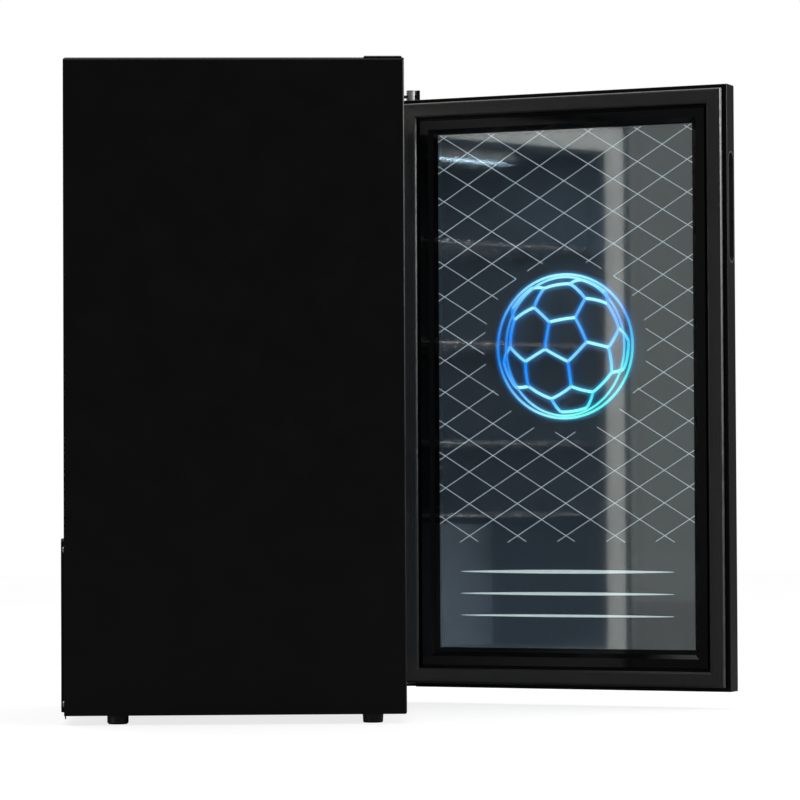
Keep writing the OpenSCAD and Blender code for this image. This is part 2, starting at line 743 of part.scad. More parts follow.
// The bars around the glass, with a seat in front for the outer pane and channels for the lamps.
module door_frame() {
    r = 4;
    v1 = -door_t;
    rim = 3;
    color("#101012") on_door() difference() {
        mitred_ring(cab_w, door_h, door_zc, door_in_y, frame_w, v1, 0) difference() {
            union() {
                translate([1.5, v1 + r]) square([frame_w - 1.5, door_t - r]);
                translate([0, v1 + r]) square([frame_w, door_t - r - 1.5]);
                translate([1.5, -1.5]) circle(1.5);
                translate([r, v1 + r]) circle(r);
                translate([r, v1]) square([frame_w - r, r + 1]);
            }
            translate([rim, v1 - 1]) square([frame_w, pane_out_t + 1.2]);
            translate([glass_seat - 0.3, pane_in_v - pane_in_t - 0.2])
                square([frame_w, 10]);
            // the groove that the gasket's root presses into
            translate([gasket_in + gasket_w / 2 - 1.5, -5]) square([3, 6]);
        }
        // lamp channels along the top and bottom of the lit panel
        for (z = [door_z0 + frame_w - 11, door_z1 - frame_w - 1])
            translate([-half_w + frame_w - 6, door_in_y + panel_v - 6.5, z])
                cube([cab_w - 2 * frame_w + 12, 8, 12]);
        handle_space(0.05);
        for (z = [door_z0 - 1, door_z1 - bush_h]) translate([hinge_x, hinge_y, z])
            cylinder(r = bush_r + 0.03, h = bush_h + notch_h + 1);
        // the notch over the lower bracket, behind the door's front skin
        translate([hinge_x - 10, hinge_y - door_t / 2 + 3, door_z0 - 1])
            cube([pin_inset + 11, door_t, notch_h + 1]);
    }
}

// The glossy moulding that holds the inner pane, bevelled towards the glass.
module inner_frame() {
    u0 = 30;
    u1 = glass_border;
    color("#08080a") on_door()
        mitred_ring(cab_w, door_h, door_zc, door_in_y, u1, -3, 4)
            polygon([[u0, 0.05], [u0, 2.4], [u0 + 0.8, 3.2], [u1 - 6, 3.2], [u1 - 0.4, -1],
                [u1, -1.9], [glass_seat, -1.9], [glass_seat, 0.05]]);
}

// The magnetic seal: a hollow ribbed strip, welded at its mitred corners.
module gasket() {
    w = gasket_w;
    h = gasket_h;
    ribs = 6;
    color("#2b2b2d") on_door()
        mitred_ring(cab_w, door_h, door_zc, door_in_y, gasket_in + w, -5, h)
            translate([gasket_in, 0]) difference() {
                union() {
                    polygon([[1.5, 0.05], [1.2, 2], [0, 4.5], [0.4, 7], [1.6, h - 0.6], [3.2, h],
                        [w - 3, h], [w - 1.2, h - 0.9], [w, h - 3], [w - 0.8, 3.5],
                        [w - 2, 2], [w - 2, 0.05]]);
                    translate([w / 2 - 1.4, -4.5]) square([2.8, 4.6]);
                }
                translate([4, 1.2]) square([w - 8, h - 2.5]);
                for (i = [0 : ribs - 1]) translate([4 + i * (w - 8.6) / (ribs - 1), h - 0.45])
                    square([0.7, 1]);
            }
}

// Flexible magnets inside the four sides of the seal.
module gasket_magnets() {
    w = gasket_w;
    inset = gasket_in + w;
    t = 2.6;
    m = 9;
    v = gasket_h - 1.5 - t;
    edge = gasket_in + 6;
    color("#4a3f38") on_door() {
        for (z = [door_z0 + edge, door_z1 - edge - m])
            translate([-half_w + inset, door_in_y + v, z]) cube([cab_w - 2 * inset, t, m]);
        for (x = [-half_w + edge, half_w - edge - m])
            translate([x, door_in_y + v, door_z0 + inset]) cube([m, t, door_h - 2 * inset]);
    }
}

module inner_glass() {
    color("#cfe0e6", 0.35) on_door()
        front_plate(cab_w - 2 * glass_seat, door_h - 2 * glass_seat, door_z0 + glass_seat,
            door_in_y + pane_in_v - pane_in_t, pane_in_t, 3);
}

// The clear sheet whose engraving the lamps light up.
module light_panel() {
    in = frame_w + 0.2;
    color("#d8ecf4", 0.35) on_door()
        front_plate(cab_w - 2 * in, door_h - 2 * in, door_z0 + in, door_in_y + panel_v - panel_t,
            panel_t, 1);
}

module outer_glass() {
    in = 3.2;
    color("#30363a", 0.6) on_door()
        front_plate(cab_w - 2 * in, door_h - 2 * in, door_z0 + in, door_out_y, pane_out_t, 3);
}

// Hollow bars that hold the panes apart, one ring on each side of the lit panel.
module glass_spacers() {
    in = frame_w + 0.2;
    wide = 3.6;
    v0 = pane_in_v - pane_in_t;
    color("#8d9296") on_door() for (span = [[panel_v + 0.1, v0 - 0.1],
            [-door_t + pane_out_t + 0.1, panel_v - panel_t - 0.1]])
        mitred_ring(cab_w, door_h, door_zc, door_in_y, in + wide, span[0], span[1])
            translate([in, span[0]]) difference() {
                square([wide, span[1] - span[0]]);
                translate([0.5, 0.5]) square([wide - 1, span[1] - span[0] - 1]);
            }
}

// Rows of small lamps on strips, above and below the lit panel.
module door_led_strips() {
    w = cab_w - 2 * frame_w;
    z = [door_z0 + frame_w - 9, door_z1 - frame_w + 4];
    color("#eef2e8") on_door() for (s = [0, 1])
        translate([0, door_in_y + panel_v - 5.5, z[s]]) {
            translate([-w / 2, 0, s == 0 ? 0 : 3.4]) cube([w, 6, 1.6]);
            for (i = [0 : 11]) translate([-w / 2 + 14 + i * (w - 32) / 11, 1, s == 0 ? 1.55 : 1.4])
                cube([4, 4, 2.05]);
        }
}

// The finger recess in the door's free edge: a cup with a lip.
module door_handle() {
    wall = 2;
    depth = 16;
    color("#26282a") on_door() intersection() {
        difference() {
            handle_space(0);
            translate([-half_w - 2, door_in_y - handle_v - wall, handle_z1 - handle_h + wall])
                rotate([90, 0, 90]) translate([-handle_w + 2 * wall, 0])
                    linear_extrude(depth + 1)
                        round_rect(handle_w - 2 * wall, handle_h - 2 * wall, 9);
        }
        translate([-half_w, door_out_y, door_z0]) cube([depth + 1, door_t, door_h]);
    }
}

// Bushes in the door's top and bottom for the hinge pins.
module hinge_bushes() {
    color("#d9d9d6") on_door() for (z = [door_z0 + notch_h - 0.8, door_z1 - bush_h + 0.6])
        translate([hinge_x, hinge_y, z]) difference() {
            cylinder(r = bush_r, h = bush_h);
            translate([0, 0, -1]) cylinder(r = pin_r + pin_gap, h = bush_h + 2);
        }
}

outer_wrap();
back_panel();
base_plate();
front_flange();
liner();
insulation();
evaporator_plate();
condenser_tubes();
compressor();
compressor_mounts();
compressor_bolts();
relay_cover();
refrigerant_pipes();
filter_drier();
drip_tray();
drain_tube();
rear_cover();
cover_screws();
cord_gland();
rear_feet();
front_foot_left();
front_foot_right();
foot_inserts();
lamp_housing();
lamp_lens();
lamp_board();
control_box();
thermostat();
thermostat_knob();
light_switch();
shelf_1();
shelf_2();
shelf_3();
shelf_4();
top_hinge_plate();
top_hinge_pin();
top_hinge_screws();
bottom_hinge_bracket();
bottom_hinge_pin();
bottom_hinge_screws();
hinge_hole_cap();
door_frame();
inner_frame();
gasket();
gasket_magnets();
inner_glass();
light_panel();
outer_glass();
glass_spacers();
door_led_strips();
door_handle();
hinge_bushes();
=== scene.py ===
"""The glass-door drinks cooler's looks: finishes, the door's lit picture, lights and camera."""

import json
import math

import bpy
import numpy as np
from mathutils import Matrix, Vector


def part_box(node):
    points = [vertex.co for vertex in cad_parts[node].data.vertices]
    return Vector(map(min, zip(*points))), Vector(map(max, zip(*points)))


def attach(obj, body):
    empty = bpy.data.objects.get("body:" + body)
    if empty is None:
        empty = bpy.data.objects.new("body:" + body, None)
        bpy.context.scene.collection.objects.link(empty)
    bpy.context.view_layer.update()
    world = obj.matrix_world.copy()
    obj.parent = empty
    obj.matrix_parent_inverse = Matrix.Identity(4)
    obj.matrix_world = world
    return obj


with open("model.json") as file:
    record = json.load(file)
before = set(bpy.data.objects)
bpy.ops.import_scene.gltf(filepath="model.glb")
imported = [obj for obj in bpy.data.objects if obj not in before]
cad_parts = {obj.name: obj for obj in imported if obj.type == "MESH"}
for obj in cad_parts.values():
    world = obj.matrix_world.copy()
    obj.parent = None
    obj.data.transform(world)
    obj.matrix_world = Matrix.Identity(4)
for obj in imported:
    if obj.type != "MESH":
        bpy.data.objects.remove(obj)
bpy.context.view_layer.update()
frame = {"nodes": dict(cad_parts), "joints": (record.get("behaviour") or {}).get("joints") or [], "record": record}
nodes = frame["nodes"]
record = frame["record"]
scene = bpy.context.scene
MM = 0.001


# ---------- where the open door stands ----------

hinge = next(j for j in frame["joints"] if j["name"] == "door_hinge")
HINGE = Vector(hinge["pos_m"])
OPEN = -math.radians(hinge["range_deg"][0])
TO_OPEN = (
    Matrix.Translation(HINGE)
    @ Matrix.Rotation(OPEN, 4, "Z")
    @ Matrix.Translation(-HINGE)
)


def shut_box(node):
    """A door node's lowest and highest corners with the door shut."""
    back = TO_OPEN.inverted()
    co = np.array([back @ v.co for v in nodes[node].data.vertices])
    return Vector(co.min(0)), Vector(co.max(0))


# ---------- materials ----------

NOISE_LO, NOISE_HI = 0.3, 0.7  # a noise texture's values lie mostly between these
EDGE_REACH = 1.2 * MM  # how far in from a sharp edge it is rubbed
EDGE_RUBBED, EDGE_WHOLE = 0.90, 0.995  # cosine of the rounded normal's turn


class Shader:
    """A Principled material with the nodes and links that all the finishes share."""

    def __init__(self, name):
        self.material = bpy.data.materials.new(name)
        self.material.use_nodes = True
        self.tree = self.material.node_tree
        self.tree.nodes.clear()
        out = self.tree.nodes.new("ShaderNodeOutputMaterial")
        self.bsdf = self.tree.nodes.new("ShaderNodeBsdfPrincipled")
        self.tree.links.new(self.bsdf.outputs[0], out.inputs[0])
        self.coord = self.tree.nodes.new("ShaderNodeTexCoord").outputs["Object"]

    def node(self, kind, **values):
        """A new node. Each value is one of its settings or the default of one of its inputs."""
        n = self.tree.nodes.new("ShaderNode" + kind)
        for key, value in values.items():
            if hasattr(n, key):
                setattr(n, key, value)
            else:
                n.inputs[key].default_value = value
        return n

    def link(self, a, b):
        self.tree.links.new(a, b)

    def drive(self, socket, source):
        """Links a source to one of the shader's own sockets."""
        self.link(source, self.bsdf.inputs[socket])

    def set(self, **values):
        for key, value in values.items():
            self.bsdf.inputs[key.replace("_", " ")].default_value = value

    def noise(self, scale, detail=4.0, stretch=(1, 1, 1), seed=0.0):
        mapping = self.node("Mapping")
        mapping.inputs["Scale"].default_value = stretch
        mapping.inputs["Location"].default_value = (seed, seed * 0.7, seed * 0.3)
        self.link(self.coord, mapping.inputs["Vector"])
        n = self.node("TexNoise", Scale=scale, Detail=detail, Roughness=0.6)
        self.link(mapping.outputs[0], n.inputs["Vector"])
        return n.outputs["Fac"]

    def ramp(self, source, low, high):
        """Goes from the colour low to the colour high over a noise's range."""
        n = self.node("ValToRGB")
        stops = ((NOISE_LO, low), (NOISE_HI, high))
        for element, (place, colour) in zip(n.color_ramp.elements, stops):
            element.position = place
            element.color = (*colour, 1.0)
        self.link(source, n.inputs["Fac"])
        return n.outputs["Color"]

    def mix(self, factor, a, b):
        """Mixes two colours, each a socket or a plain colour."""
        n = self.node("MixRGB")
        self.link(factor, n.inputs["Fac"])
        for slot, value in (("Color1", a), ("Color2", b)):
            if isinstance(value, bpy.types.NodeSocket):
                self.link(value, n.inputs[slot])
            else:
                n.inputs[slot].default_value = (*value, 1.0)
        return n.outputs["Color"]

    def spread(self, source, low, high, start=NOISE_LO, end=NOISE_HI):
        """Maps a source from start..end to low..high."""
        n = self.node("MapRange")
        self.link(source, n.inputs["Value"])
        limits = (("From Min", start), ("From Max", end), ("To Min", low), ("To Max", high))
        for key, value in limits:
            n.inputs[key].default_value = value
        return n.outputs["Result"]

    def calc(self, operation, *values):
        """A Math node. Each value is a socket or a plain number."""
        n = self.node("Math", operation=operation)
        for slot, value in zip(n.inputs, values):
            if isinstance(value, bpy.types.NodeSocket):
                self.link(value, slot)
            else:
                slot.default_value = value
        return n.outputs[0]

    def axes(self, vector):
        n = self.node("SeparateXYZ")
        self.link(vector, n.inputs[0])
        return n.outputs

    def bump(self, source, strength, depth):
        n = self.node("Bump", Strength=strength, Distance=depth)
        self.link(source, n.inputs["Height"])
        self.drive("Normal", n.outputs["Normal"])

    def edges(self):
        """1 on sharp edges and 0 on flat faces, from the rounded normal's turn."""
        bevel = self.node("Bevel", samples=4, Radius=EDGE_REACH)
        flat = self.node("NewGeometry")
        dot = self.node("VectorMath", operation="DOT_PRODUCT")
        self.link(bevel.outputs["Normal"], dot.inputs[0])
        self.link(flat.outputs["Normal"], dot.inputs[1])
        return self.spread(dot.outputs["Value"], 1.0, 0.0, EDGE_RUBBED, EDGE_WHOLE)


def scaled(colour, k):
    return tuple(min(1.0, c * k) for c in colour)


def finish(name, colour, rough, vary=0.12, patch=14.0, grain=900.0, depth=0.05, strength=0.3,
           rough_vary=0.06, metal=0.0, spec=0.5, wear=0.0, worn=None, gap_shade=None,
           stretch=(1, 1, 1)):
    """An opaque finish: broad colour patches, a fine grain and uneven gloss.

    depth is the height of the grain in millimetres. wear rubs sharp edges towards the
    colour worn. gap_shade, if given, is a painted shade for faces that look up or to the rear.
    """
    s = Shader(name)
    broad = s.noise(patch, 5.0, seed=len(name))
    shade = s.ramp(broad, scaled(colour, 1 - vary), scaled(colour, 1 + vary))
    if wear:
        patchy = s.spread(s.noise(120.0, 3.0, seed=3.1), 0.0, wear, 0.45, 0.7)
        shade = s.mix(s.calc("MULTIPLY", s.edges(), patchy), shade, worn)
    # Painted shade: faces that look up or to the rear take the darker colour.
    if gap_shade:
        normal = s.axes(s.node("NewGeometry").outputs["Normal"])
        shade = s.mix(s.calc("MAXIMUM", normal["Y"], normal["Z"]), shade, gap_shade)
    s.drive("Base Color", shade)
    blot = s.noise(patch * 3, 4.0, seed=9.2)
    s.drive("Roughness", s.spread(blot, rough - rough_vary, rough + rough_vary))
    s.bump(s.noise(grain, 3.0, stretch, seed=1.7), strength, depth * MM)
    s.set(Metallic=metal, Specular_IOR_Level=spec)
    return s.material


def glass(name, colour, ior, coat=0.0, coat_ior=1.5, coat_rough=0.0, spec=0.5):
    """Clear or tinted sheet, with a trace of dust and smears in its gloss."""
    s = Shader(name)
    smear = s.noise(9.0, 6.0, seed=4.4)
    s.drive("Base Color", s.ramp(smear, scaled(colour, 0.94), colour))
    s.drive("Roughness", s.spread(smear, 0.0, 0.012, 0.5, 0.8))
    s.bump(s.noise(3.0, 1.0, seed=2.0), 0.02, 0.02 * MM)
    s.set(Transmission_Weight=1.0, IOR=ior, Coat_Weight=coat, Coat_IOR=coat_ior,
          Coat_Roughness=coat_rough, Specular_IOR_Level=spec)
    return s.material


def lamp_finish(name, colour, glow, strength, spots, centre=0.0, reach=1.0):
    """A lit surface: bright spots over a faint glow, within reach of centre along x."""
    s = Shader(name)
    cells = s.node("TexVoronoi", Scale=spots)
    s.link(s.coord, cells.inputs["Vector"])
    lit = s.spread(cells.outputs["Distance"], 1.0, 0.0, 0.12, 0.30)
    away = s.calc("ABSOLUTE", s.calc("SUBTRACT", s.axes(s.coord)["X"], centre))
    near = s.calc("MULTIPLY", lit, s.spread(away, 1.0, 0.0, 0.8 * reach, reach))
    s.drive("Emission Color", s.mix(near, scaled(glow, 0.012), glow))
    s.drive("Base Color", s.ramp(s.noise(60.0), scaled(colour, 0.9), colour))
    s.drive("Roughness", s.spread(s.noise(200.0), 0.3, 0.45))
    s.bump(s.noise(700.0), 0.2, 0.05 * MM)
    s.set(Emission_Strength=strength)
    return s.material


LENS_LO, LENS_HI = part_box("lamp_lens")
LENS_W = LENS_HI.x - LENS_LO.x
SPOTS_X = LENS_HI.x - 0.37 * LENS_W  # where the lamp's bright spots are centred
SPOTS_REACH = 0.15 * LENS_W

FINISHES = {
    "black_steel": finish(
        "black_steel", (0.0017, 0.0017, 0.0018), 0.34, patch=7, grain=1500, depth=0.05,
        strength=0.22, spec=0.2, wear=0.35, worn=(0.02, 0.02, 0.021)),
    "galvanised_steel": finish(
        "galvanised_steel", (0.42, 0.43, 0.44), 0.42, metal=0.9, patch=60, vary=0.2,
        rough_vary=0.12),
    "flange_plastic": finish(
        "flange_plastic", (0.74, 0.74, 0.71), 0.32, vary=0.03, depth=0.02),
    "liner_plastic": finish(
        "liner_plastic", (0.34, 0.41, 0.49), 0.42, vary=0.04, grain=500, depth=0.01,
        strength=0.15),
    # Painted shade: foam faces that look up or to the rear are near black, so that
    # the foam seen past a sheet's edge shows as shade in the slot.
    "foam": finish(
        "foam", (0.72, 0.62, 0.34), 0.9, vary=0.15, patch=90, grain=700, depth=0.4,
        strength=0.8, gap_shade=(0.004, 0.004, 0.004)),
    "bare_aluminium": finish(
        "bare_aluminium", (0.62, 0.64, 0.66), 0.36, metal=1.0, vary=0.06, grain=300,
        stretch=(1, 1, 14), depth=0.02),
    "copper": finish(
        "copper", (0.66, 0.30, 0.17), 0.34, metal=1.0, vary=0.25, patch=70, rough_vary=0.12),
    "compressor_paint": finish(
        "compressor_paint", (0.010, 0.010, 0.011), 0.3, grain=300, depth=0.1, wear=0.5,
        worn=(0.12, 0.11, 0.10)),
    "black_rubber": finish(
        "black_rubber", (0.018, 0.018, 0.018), 0.75, vary=0.25, patch=60, depth=0.06),
    "zinc_steel": finish(
        "zinc_steel", (0.30, 0.30, 0.31), 0.48, metal=0.4, vary=0.08, patch=120,
        rough_vary=0.1),
    "dark_plastic": finish(
        "dark_plastic", (0.014, 0.014, 0.0155), 0.5, grain=1100, depth=0.06, wear=0.3,
        worn=(0.06, 0.06, 0.06)),
    "pale_plastic": finish("pale_plastic", (0.70, 0.71, 0.71), 0.42, vary=0.03, depth=0.04),
    "knob_plastic": finish(
        "knob_plastic", (0.50, 0.52, 0.54), 0.4, vary=0.05, wear=0.4,
        worn=(0.75, 0.76, 0.78)),
    "switch_plastic": finish("switch_plastic", (0.02, 0.02, 0.022), 0.25, vary=0.1),
    "shelf_chrome": finish(
        "shelf_chrome", (0.72, 0.74, 0.77), 0.26, metal=1.0, vary=0.05, grain=200,
        depth=0.01, rough_vary=0.05),
    "door_plastic": finish(
        "door_plastic", (0.0018, 0.0018, 0.0019), 0.32, grain=1300, depth=0.03,
        strength=0.2, wear=0.25, spec=0.10, worn=(0.02, 0.02, 0.021)),
    "gloss_black": finish(
        "gloss_black", (0.0012, 0.0012, 0.0014), 0.10, vary=0.2, grain=60, depth=0.01,
        rough_vary=0.03, strength=0.05, spec=0.16),
    "gasket_rubber": finish(
        "gasket_rubber", (0.016, 0.0155, 0.015), 0.36, vary=0.18, patch=30, depth=0.05,
        rough_vary=0.08, spec=0.55),
    "magnet_rubber": finish("magnet_rubber", (0.05, 0.035, 0.03), 0.8, vary=0.2, patch=80),
    "handle_plastic": finish(
        "handle_plastic", (0.03, 0.03, 0.032), 0.32, grain=900, depth=0.02),
    "clear_glass": glass(
        "clear_glass", (0.82, 0.90, 0.93), ior=1.52, coat=1.0, coat_ior=1.95,
        coat_rough=0.07, spec=1.0),
    "panel_acrylic": glass("panel_acrylic", (0.86, 0.95, 0.98), ior=1.2),
    "tinted_glass": glass("tinted_glass", (0.062, 0.070, 0.074), ior=1.5, spec=0.2),
    "lamp_lens": lamp_finish(
        "lamp_lens", (0.5, 0.55, 0.6), glow=(0.55, 0.86, 1.0), strength=9.0, spots=95.0,
        centre=SPOTS_X, reach=SPOTS_REACH),
    "lamp_board": lamp_finish(
        "lamp_board", (0.8, 0.82, 0.78), glow=(0.75, 0.92, 1.0), strength=1.5, spots=60.0),
}

for part in record["subparts"]:
    mesh = nodes[part["node"]].data
    mesh.materials.clear()
    mesh.materials.append(FINISHES[part["material_slot"]])


# ---------- the lit picture ----------

PANEL_LO, PANEL_HI = shut_box("light_panel")
REVEAL = 2.8 * MM  # how much of the panel's edge the frame hides
HALF_A = (PANEL_HI.x - PANEL_LO.x) / 2 - REVEAL
HALF_B = (PANEL_HI.z - PANEL_LO.z) / 2 - REVEAL
CENTRE_X = (PANEL_HI.x + PANEL_LO.x) / 2
CENTRE_Z = (PANEL_HI.z + PANEL_LO.z) / 2
STROKE_THICK = 0.12 * MM
SECTION = (0, 1, 2, 5, 4, 3)  # the six points of a stroke's section, in order round it


def on_panel(a, b, lift):
    """A point of the picture: a to the right and b up, seen from the door's inner side."""
    return TO_OPEN @ Vector((CENTRE_X - a, PANEL_HI.y + lift, CENTRE_Z + b))


def heading(line, i):
    """From the point before to the point after a line's point i, where there are such points."""
    return line[min(i + 1, len(line) - 1)] - line[max(i - 1, 0)]


class Strokes:
    """Thin raised strokes on the panel, gathered into one mesh."""

    def __init__(self, name, material, slot):
        self.name, self.material, self.slot = name, material, slot
        self.points, self.faces, self.glow, self.across = [], [], [], []

    def add(self, line, widths, colours, lift=0.05 * MM):
        """A stroke along 2D points, with a width and a colour at each."""
        line = [Vector(p) for p in line]
        base = len(self.points)
        for i, p in enumerate(line):
            along = heading(line, i)
            side = Vector((-along.y, along.x)).normalized() * widths[i] / 2
            for height in (lift, lift + STROKE_THICK):
                for k in (-1, 0, 1):
                    q = p + side * k
                    self.points.append(on_panel(q.x, q.y, height))
                    self.glow.append(colours[i])
                    self.across.append(1.0 - abs(k))
        end = base + len(SECTION) * (len(line) - 1)
        for a in range(base, end, len(SECTION)):
            b = a + len(SECTION)
            for m, n in zip(SECTION, SECTION[1:] + SECTION[:1]):
                self.faces.append((a + m, a + n, b + n, b + m))
        self.faces += [
            (base, base + 3, base + 4, base + 1), (base + 1, base + 4, base + 5, base + 2),
            (end, end + 1, end + 4, end + 3), (end + 1, end + 2, end + 5, end + 4),
        ]

    def build(self):
        mesh = bpy.data.meshes.new(self.name)
        mesh.from_pydata(self.points, [], self.faces)
        glow = mesh.attributes.new("glow", "FLOAT_COLOR", "POINT")
        colours = np.array([(*c, 1.0) for c in self.glow], np.float32)
        glow.data.foreach_set("color", colours.ravel())
        across = mesh.attributes.new("across", "FLOAT", "POINT")
        across.data.foreach_set("value", np.array(self.across, np.float32))
        mesh.materials.append(self.material)
        piece = bpy.data.objects.new(self.name, mesh)
        scene.collection.objects.link(piece)
        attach(piece, "door")


def stroke_material(name, strength, soft=0.0, body=(0.5, 0.5, 0.5)):
    """Light coming out of an engraved or printed line.

    soft is the opacity in the middle of a stroke that fades towards its sides; 0 is solid.
    """
    s = Shader(name)
    glow = s.node("Attribute", attribute_name="glow")
    tint = s.node("VectorMath", operation="SCALE")
    s.link(glow.outputs["Color"], tint.inputs[0])
    s.link(s.spread(s.noise(300.0, 3.0), 0.85, 1.0), tint.inputs["Scale"])
    s.drive("Emission Color", tint.outputs[0])
    s.drive("Base Color", s.ramp(s.noise(80.0), body, scaled(body, 1.2)))
    s.drive("Roughness", s.spread(s.noise(500.0), 0.5, 0.7))
    s.bump(s.noise(900.0), 0.1, 0.02 * MM)
    s.set(Emission_Strength=strength)
    if soft:
        across = s.node("Attribute", attribute_name="across")
        fade = s.calc("POWER", across.outputs["Fac"], 2.2)
        s.drive("Alpha", s.calc("MULTIPLY", fade, soft))
    return s.material


def lerp(a, b, t):
    return tuple(x + (y - x) * t for x, y in zip(a, b))


# The net: a regular mesh of straight threads that leaves the ball clear and ends above the
# level lines.

BALL_A, BALL_B, BALL_R = 0.0, 60 * MM, 98 * MM
CLEAR_R = 1.2 * BALL_R
THREAD = 1.15 * MM
THREAD_COLOUR = (0.42, 0.47, 0.50)
THREAD_STEPS = 180
MESH_GAP = 44 * MM
MESH_SLOPE = 0.62
MESH_FLOOR = 150 * MM  # from the picture's lower edge
MESH_MARGIN = 1 * MM  # from its other edges


def add_thread(strokes, middle, slope):
    """One straight thread through a = 0, b = middle, cut at the ball and where the mesh ends."""
    run = []
    for i in range(THREAD_STEPS + 2):  # one step too many, which ends the last run
        a = (HALF_A - MESH_MARGIN) * (2 * i / THREAD_STEPS - 1)
        b = middle + slope * a
        inside = i <= THREAD_STEPS and MESH_FLOOR - HALF_B < b < HALF_B - MESH_MARGIN
        if inside and math.hypot(a - BALL_A, b - BALL_B) > CLEAR_R:
            run.append((a, b))
            continue
        if len(run) > 2:
            strokes.add([run[0], run[-1]], [THREAD] * 2, [THREAD_COLOUR] * 2)
        run = []


def net():
    strokes = Strokes("panel_net", stroke_material("net_print", 1.0), "panel_acrylic")
    reach = int((HALF_B + MESH_SLOPE * HALF_A) / MESH_GAP)
    for k in range(-reach, reach + 1):
        for slope in (MESH_SLOPE, -MESH_SLOPE):
            add_thread(strokes, (k + 0.5) * MESH_GAP, slope)
    strokes.build()


LINE_WIDTHS = (4.6, 3.8, 3.0)  # mm in the middle, from the upper line down
LINE_END = 0.5  # mm at the ends
LINE_TAPER = 0.7  # lower is blunter
LINE_TOP, LINE_GAP = 110, 30  # mm, the upper line measured from the picture's lower edge
LINE_REACH = 0.82  # of the picture's half width
LINE_COLOUR = (0.74, 0.82, 0.80)
LINE_STEPS = 40


def level_lines():
    """Plain level lines under the net, tapered at both ends."""
    strokes = Strokes("panel_lines", stroke_material("line_print", 1.0), "panel_acrylic")
    stations = range(LINE_STEPS + 1)
    for k, width in enumerate(LINE_WIDTHS):
        b = (LINE_TOP - LINE_GAP * k) * MM - HALF_B
        line = [(LINE_REACH * HALF_A * (2 * i / LINE_STEPS - 1), b) for i in stations]
        widths = [(LINE_END + width * math.sin(math.pi * i / LINE_STEPS) ** LINE_TAPER) * MM
                  for i in stations]
        strokes.add(line, widths, [LINE_COLOUR] * len(line))
    strokes.build()


# The ball: the seams of a truncated icosahedron, nearly square on to one of its five-sided
# patches, inside a ring and a narrower second ring that is a painted reflection of the first.

PHI = (1 + math.sqrt(5)) / 2
BLUE = (0.0, 0.09, 0.34)
PALE = (0.17, 0.40, 0.44)
GREEN = (0.03, 0.42, 0.27)
INK = (0.004, 0.012, 0.02)
BALL_TILT, BALL_ROLL = math.radians(7), math.radians(8)
BALL_GLOW = 4.4
SEAM_REACH = 0.955  # of BALL_R
SEAM_W = 4.0 * MM
SEAM_SPAN = 0.42  # corners of the unit ball nearer than this share a seam
SEAM_BACK = -0.02  # and a corner further back than this is hidden
SEAM_STEPS = 6
# The first ring is the engraved one; the second, narrower ring is a painted reflection of it.
RING_AND_REFLECTION = ((1.0, 1.0, 3.4), (0.88, 0.965, 3.0))  # half width and height in BALL_R, stroke in mm
RING_STEPS = 120
RING_BRIGHT = 0.9
CORE_LIFT = 0.30 * MM  # in front of the halo, so that the halo doesn't wash it out
HALO_WIDER = 4.5  # times its stroke's width
HALO_OPACITY = 0.33


def ball_vertices():
    """The sixty corners of a truncated icosahedron."""
    found = []
    for x, y, z in ((0, 1, 3 * PHI), (1, 2 + PHI, 2 * PHI), (PHI, 2, 2 * PHI + 1)):
        for sx in (1, -1):
            for sy in (1, -1):
                for sz in (1, -1):
                    v = (sx * x, sy * y, sz * z)
                    for turn in range(3):
                        w = Vector((v[turn], v[(turn + 1) % 3], v[(turn + 2) % 3]))
                        if all((w - q).length > 0.01 for q in found):
                            found.append(w)
    return found


def ball_frame(vertices):
    """Turns a five-sided patch to the viewer, one corner down, then tilts and rolls it."""
    # The corners of a five-sided patch are the five nearest to the axis through its middle.
    facing = max(
        (Vector(d).normalized() for d in ((0, 1, PHI), (0, PHI, 1))),
        key=lambda d: sorted(v.dot(d) for v in vertices)[-5],
    )
    near = max(vertices, key=lambda v: v.dot(facing) + 1e-6 * v.x)
    down = (near - facing * near.dot(facing)).normalized()
    right = (-down).cross(facing)
    turn = Matrix((right, -down, facing))
    return Matrix.Rotation(-BALL_TILT, 3, "X") @ Matrix.Rotation(BALL_ROLL, 3, "Z") @ turn


def seam_colour(direction, place):
    """Level seams are pale and upright ones blue, going to green at the lower right."""
    colour = lerp(BLUE, PALE, abs(direction.x) ** 2.2)
    corner = max(0.0, min(1.0, (place.x - place.y) / BALL_R - 0.45))
    return lerp(colour, GREEN, 0.8 * corner)


def ball():
    core = Strokes("panel_ball", stroke_material("ball_engraving", BALL_GLOW, body=INK),
                   "panel_acrylic")
    halo = Strokes("panel_ball_halo",
                   stroke_material("ball_halo", BALL_GLOW, HALO_OPACITY, INK), "panel_acrylic")
    middle = Vector((BALL_A, BALL_B))

    def add(points, width, bright=1.0):
        colours = [seam_colour(heading(points, i).normalized(), p)
                   for i, p in enumerate(points)]
        line = [p + middle for p in points]
        core.add(line, [width] * len(line), [scaled(c, bright) for c in colours], CORE_LIFT)
        halo.add(line, [width * HALO_WIDER] * len(line), [lerp(c, BLUE, 0.75) for c in colours])

    vertices = ball_vertices()
    turn = ball_frame(vertices)
    turned = [turn @ v.normalized() for v in vertices]
    for i, p in enumerate(turned):
        for q in turned[i + 1:]:
            if (p - q).length < SEAM_SPAN and min(p.z, q.z) > SEAM_BACK:
                add([(p.lerp(q, k / SEAM_STEPS).normalized() * BALL_R * SEAM_REACH).to_2d()
                     for k in range(SEAM_STEPS + 1)], SEAM_W)
    for wide, tall, width in RING_AND_REFLECTION:
        angles = [math.tau * k / RING_STEPS for k in range(RING_STEPS + 1)]
        ring = [Vector((wide * math.cos(t), tall * math.sin(t))) * BALL_R for t in angles]
        add(ring, width * MM, RING_BRIGHT)
    core.build()
    halo.build()


net()
level_lines()
ball()


